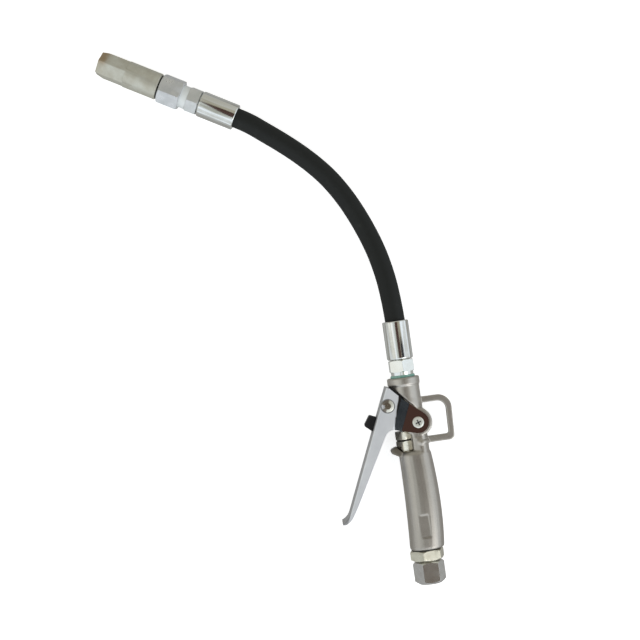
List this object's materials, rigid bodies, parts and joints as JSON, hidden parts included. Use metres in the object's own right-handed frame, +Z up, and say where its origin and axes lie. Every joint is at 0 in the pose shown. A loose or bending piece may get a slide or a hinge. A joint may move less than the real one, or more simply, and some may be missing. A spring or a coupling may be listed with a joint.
{
  "type": "grease gun",
  "caption": "Pumped grease control handle: cast grip with hook loop, squeeze lever with thumb latch, swivel inlet, short curved hose and a jaw coupler.",
  "frame": {"origin": "centre of the inlet nut's mouth, on the handle's axis; the object lies on its side", "axes": "+Y from the inlet along the handle towards the hose, +X towards the hook loop, +Z up, out of the side that carries the latch pin's clip; the lever reaches out to -X"},
  "size_m": [0.2459, 0.4562, 0.0312],
  "materials": {
    "cast_body": "sand-cast, dull grey with a warm tint",
    "lever_steel": "stamped, bright satin plating, polished at the ears",
    "zinc": "bright zinc with a slight yellow-green tint",
    "zinc_olive": "zinc-nickel, olive grey",
    "steel": "ground bright steel",
    "spring_steel": "drawn wire",
    "black_latch": "matt black coating",
    "hose_rubber": "black wrapped rubber with a faint weave",
    "seal_black": "black rubber",
    "seal_green": "blue-green seal"
  },
  "bodies": {
    "handle": {"valve_body": "cast_body", "inlet_adapter": "zinc_olive", "inlet_seal": "seal_black", "swivel_o_ring": "seal_black", "valve_cartridge": "zinc_olive", "cartridge_washer": "zinc_olive", "gland_packing": "seal_black", "gland_nut": "zinc_olive", "valve_spring": "spring_steel", "pivot_screw_front": "zinc", "pivot_screw_rear": "zinc", "outlet_washer": "seal_green", "hose_nipple_lower": "zinc", "ferrule_lower": "zinc", "hose": "hose_rubber", "ferrule_upper": "zinc", "hose_nipple_upper": "zinc", "coupler_body": "zinc_olive", "coupler_ring": "seal_black", "coupler_sleeve": "zinc_olive", "coupler_spring": "spring_steel", "check_ball": "steel", "check_spring": "spring_steel", "check_retainer": "steel"},
    "swivel": {"swivel_nut": "zinc", "swivel_clip": "spring_steel"},
    "lever": {"lever": "lever_steel", "push_bar": "steel", "latch_pin": "zinc_olive", "latch_clip": "zinc", "latch_spring": "spring_steel"},
    "latch": {"latch": "black_latch"},
    "stem": {"valve_stem": "steel", "valve_ball": "steel"},
    "jaws": {"coupler_jaws": "steel", "jaw_piston": "steel", "jaw_seal": "seal_black"}
  },
  "joints": [
    {"name": "lever_squeeze", "type": "hinge", "parent": "handle", "child": "lever", "pos_m": [0.0066, 0.1293, 0], "axis": [0, 0, 1], "range_deg": [0, 16], "stiffness_Nm_per_rad": 2, "springref_deg": -5.73},
    {"name": "valve_push", "type": "slide", "parent": "handle", "child": "stem", "axis": [0, -1, 0], "range_m": [0, 0.0036], "deforming": ["valve_spring"]},
    {"name": "latch_rock", "type": "hinge", "parent": "lever", "child": "latch", "pos_m": [-0.01558, 0.14527, 0], "axis": [0, 0, 1], "range_deg": [0, 6], "stiffness_Nm_per_rad": 0.02, "springref_deg": -28.65},
    {"name": "inlet_swivel", "type": "hinge", "parent": "handle", "child": "swivel", "pos_m": [0, 0.01, 0], "axis": [0, 1, 0], "continuous": true},
    {"name": "jaws_slide", "type": "slide", "parent": "handle", "child": "jaws", "axis": [0.8686, -0.4955, 0], "range_m": [0, 0.002], "stiffness_N_per_m": 500, "springref_m": -0.004, "deforming": ["coupler_spring"]}
  ],
  "couplings": [
    {"joint": "valve_push", "follows": "lever_squeeze", "m_per_rad": 0.0128}
  ]
}
